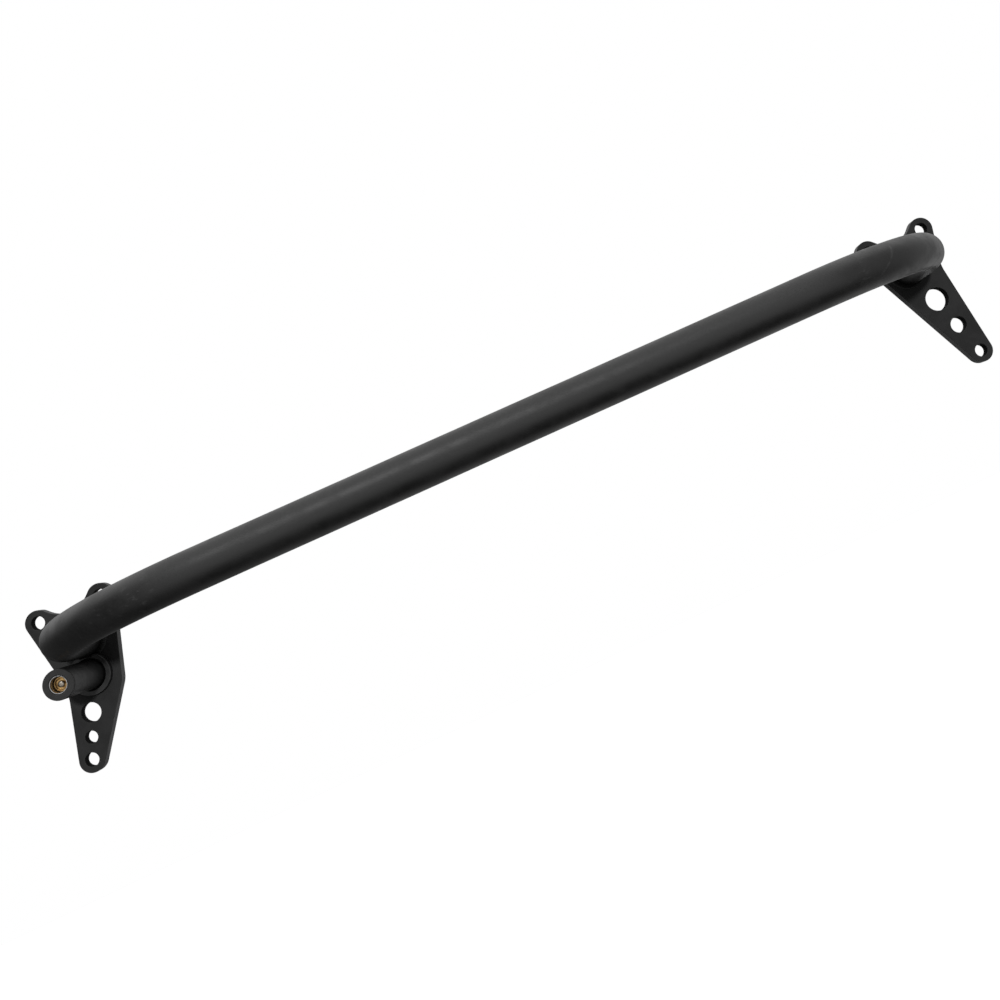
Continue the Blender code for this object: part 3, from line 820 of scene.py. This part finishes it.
def build_bar():
    bar_rubs = [((-0.384, -0.212, -0.004), 0.022, (60.0, 300.0, 420.0)),
                ((-0.402, -0.2, -0.012), 0.02, (420.0, 160.0, 90.0)),
                ((-0.35, -0.232, -0.002), 0.03, (90.0, 300.0, 260.0)),
                ((0.345, -0.23, 0.0), 0.02, (90.0, 200.0, 260.0))]
    bar_coat = black_coat("bar_satin_black", 0.002, 0.0032, 0.44, 0.52, peel=0.42, wear=0.6,
                          dust=0.12, rubs=bar_rubs)
    plate_coat = {side: black_coat(f"{side}_plate_satin_black", 0.0072, 0.0102, 0.45, 0.05,
                                   peel=0.3, wear=0.55, dust=0.2, lines=0.12, clouds=34.0)
                  for side in ("left", "right")}
    weld_coat = {side: black_coat(f"{side}_weld_satin_black", 0.004, 0.006, 0.42, 0.2, peel=0.5,
                                  wear=0.0, dust=0.3, clouds=160.0)
                 for side in ("left", "right", "peg")}
    place_piece(cross_bar(), "cross_bar", bar_coat)
    left = plate("left_three_arm_plate", -1, LEFT_WAIST, LEFT_SHOULDERS, LEFT_HOLES, LEFT_NICK)
    place_piece(left, "left_mount_plate", plate_coat["left"])
    right = plate("right_three_arm_plate", 1, RIGHT_WAIST, [], RIGHT_HOLES)
    place_piece(right, "right_mount_plate", plate_coat["right"])
    place_piece(leg_weld("left_foot_weld", -1, True), "left_leg_weld", weld_coat["left"])
    place_piece(leg_weld("right_foot_weld", 1, False), "right_leg_weld", weld_coat["right"])
    sleeve_coat = black_coat("peg_satin_black", 0.004, 0.006, 0.38, 0.12, peel=0.3, wear=0.7,
                             dust=0.15, clouds=90.0)
    place_piece(peg_tube(), "peg_tube", sleeve_coat)
    flange_coat = black_coat("flange_dull_black", 0.0078, 0.0105, 0.5, 0.18, peel=0.2, wear=0.9,
                             dust=0.1, clouds=120.0)
    place_piece(end_bush(), "peg_end_bush", flange_coat)
    collar_coat = black_coat("collar_satin_black", 0.006, 0.009, 0.4, 0.25, peel=0.35, wear=0.6,
                             dust=0.2, clouds=90.0)
    place_piece(collar(), "peg_collar", collar_coat)
    place_piece(peg_weld(), "peg_weld", weld_coat["peg"])
    yellow = turned_metal("yellow_zinc", (0.5, 0.32, 0.13, 1), (0.15, 0.08, 0.03, 1), 0.26)
    place_piece(plunger_body(), "plunger_body", yellow)
    place_piece(plunger_plug(), "plunger_plug", yellow)
    lining = turned_metal("bright_lining", (0.46, 0.46, 0.46, 1), (0.18, 0.18, 0.18, 1), 0.3)
    place_piece(plunger_sleeve(), "plunger_sleeve", lining)
    bright = turned_metal("bright_turned_steel", (0.45, 0.41, 0.35, 1), (0.2, 0.17, 0.13, 1), 0.22)
    place_piece(plunger_pin(), "plunger_pin", bright, "plunger")
    coil = plunger_spring()
    place_piece(coil, "plunger_spring", drawn_wire("spring_wire"))
    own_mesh(coil)


# ---------------------------------------------------------------- studio

def studio_world():
    """Soft room light, worked out from the direction it comes from.

    A wide front screen spans some 45 degrees to each side and from just below the level
    upwards, and the ceiling is as bright. The right side and the back are paler, the left
    side is dim, and the room in front and below is dark.
    """
    world = bpy.data.worlds.new("soft_room")
    world.use_nodes = True
    tree = world.node_tree
    tree.nodes.clear()
    direction = add(tree, "SeparateXYZ", {"Vector": add(tree, "TexCoord").outputs["Generated"]})
    x, y, z = (direction.outputs[axis] for axis in "XYZ")
    not_left = ramp(tree, x, -0.86, -0.5)
    not_right = ramp(tree, x, 0.35, 0.8, 1.0, 0.42)
    screen = math_node(tree, "MULTIPLY", not_left, not_right)
    screen = math_node(tree, "MULTIPLY", screen, ramp(tree, z, -0.85, -0.22))
    ceiling = ramp(tree, z, 0.45, 0.85)
    front = math_node(tree, "MAXIMUM", math_node(tree, "MULTIPLY", screen, 0.95),
                      math_node(tree, "MULTIPLY", ceiling, 1.15))
    front = math_node(tree, "MAXIMUM", front, 0.02)
    low_left = math_node(tree, "MAXIMUM", ramp(tree, x, -0.5, 0.15, 0.12, 1.0),
                         ramp(tree, z, 0.0, 0.35))
    back = math_node(tree, "MULTIPLY", low_left, ramp(tree, z, 0.1, 0.7, 0.58, 1.0))
    behind = ramp(tree, y, -0.05, 0.45)
    strength = add(tree, "Mix", {"Factor": behind, "A": front, "B": back}, data_type="FLOAT")
    seen = add(tree, "LightPath").outputs["Is Camera Ray"]
    shown = add(tree, "Mix", {"Factor": seen, "A": strength.outputs["Result"], "B": 1.0},
                data_type="FLOAT")
    light = add(tree, "Background", {"Color": (1, 1, 1, 1), "Strength": shown.outputs["Result"]})
    out = add(tree, "OutputWorld")
    tree.links.new(light.outputs["Background"], out.inputs["Surface"])
    bpy.context.scene.world = world


def soft_light(name, place, aim, size, energy, glossy=True):
    """A square soft box that hangs at place and faces aim, and may be kept out of highlights."""
    data = bpy.data.lights.new(name, "AREA")
    data.shape = "SQUARE"
    data.size = size
    data.energy = energy
    lamp = bpy.data.objects.new(name, data)
    lamp.location = place
    lamp.rotation_euler = (Vector(aim) - Vector(place)).to_track_quat("-Z", "Y").to_euler()
    lamp.visible_glossy = glossy
    bpy.context.scene.collection.objects.link(lamp)


def pale_floor():
    """A plain pale floor well below the bar, which the room light does not dim."""
    points = np.array([[-4, -4, 0], [4, -4, 0], [4, 4, 0], [-4, 4, 0]], float) + (0, 0, -0.75)
    mesh = bpy.data.meshes.new("pale_floor")
    mesh.from_pydata(points.tolist(), [], [(0, 1, 2, 3)])
    floor = bpy.data.objects.new("pale_floor", mesh)
    bpy.context.scene.collection.objects.link(floor)
    mat = bpy.data.materials.new("pale_floor")
    mat.use_nodes = True
    shader = mat.node_tree.nodes["Principled BSDF"]
    shader.inputs["Base Color"].default_value = (0.9, 0.9, 0.9, 1)
    shader.inputs["Emission Color"].default_value = (1, 1, 1, 1)
    shader.inputs["Emission Strength"].default_value = 1.0
    mesh.materials.append(mat)
    floor.visible_glossy = False
    floor.visible_diffuse = False
    floor.visible_shadow = False


def camera():
    """A level camera turned by its bearing and rise, and then rolled about its aim."""
    data = bpy.data.cameras.new("camera")
    data.lens = CAMERA_LENS
    data.sensor_width = 36.0
    data.shift_x, data.shift_y = CAMERA_SHIFT
    data.clip_start = 0.01
    data.clip_end = 50.0
    bearing, rise, roll = (math.radians(a) for a in (CAMERA_BEARING, CAMERA_RISE, CAMERA_ROLL))
    turn = (Matrix.Rotation(-bearing, 4, "Z") @ Matrix.Rotation(math.pi / 2 + rise, 4, "X")
            @ Matrix.Rotation(-roll, 4, "Z"))
    obj = bpy.data.objects.new("camera", data)
    obj.matrix_world = Matrix.Translation(CAMERA_PLACE) @ turn
    bpy.context.scene.collection.objects.link(obj)
    bpy.context.scene.camera = obj


camera()
studio_world()
pale_floor()
soft_light("top_soft_box", (-0.3, -3.2, 2.6), (0, -0.1, 0), 1.5, 26.0)
# a small far lamp, out of the highlights, throws the bar's shadow on the plates
soft_light("front_lamp", (0.0, -3.2, 0.35), (0, -0.1, 0), 0.18, 225.0, glossy=False)
bpy.context.scene.view_settings.view_transform = "Standard"
build_bar()
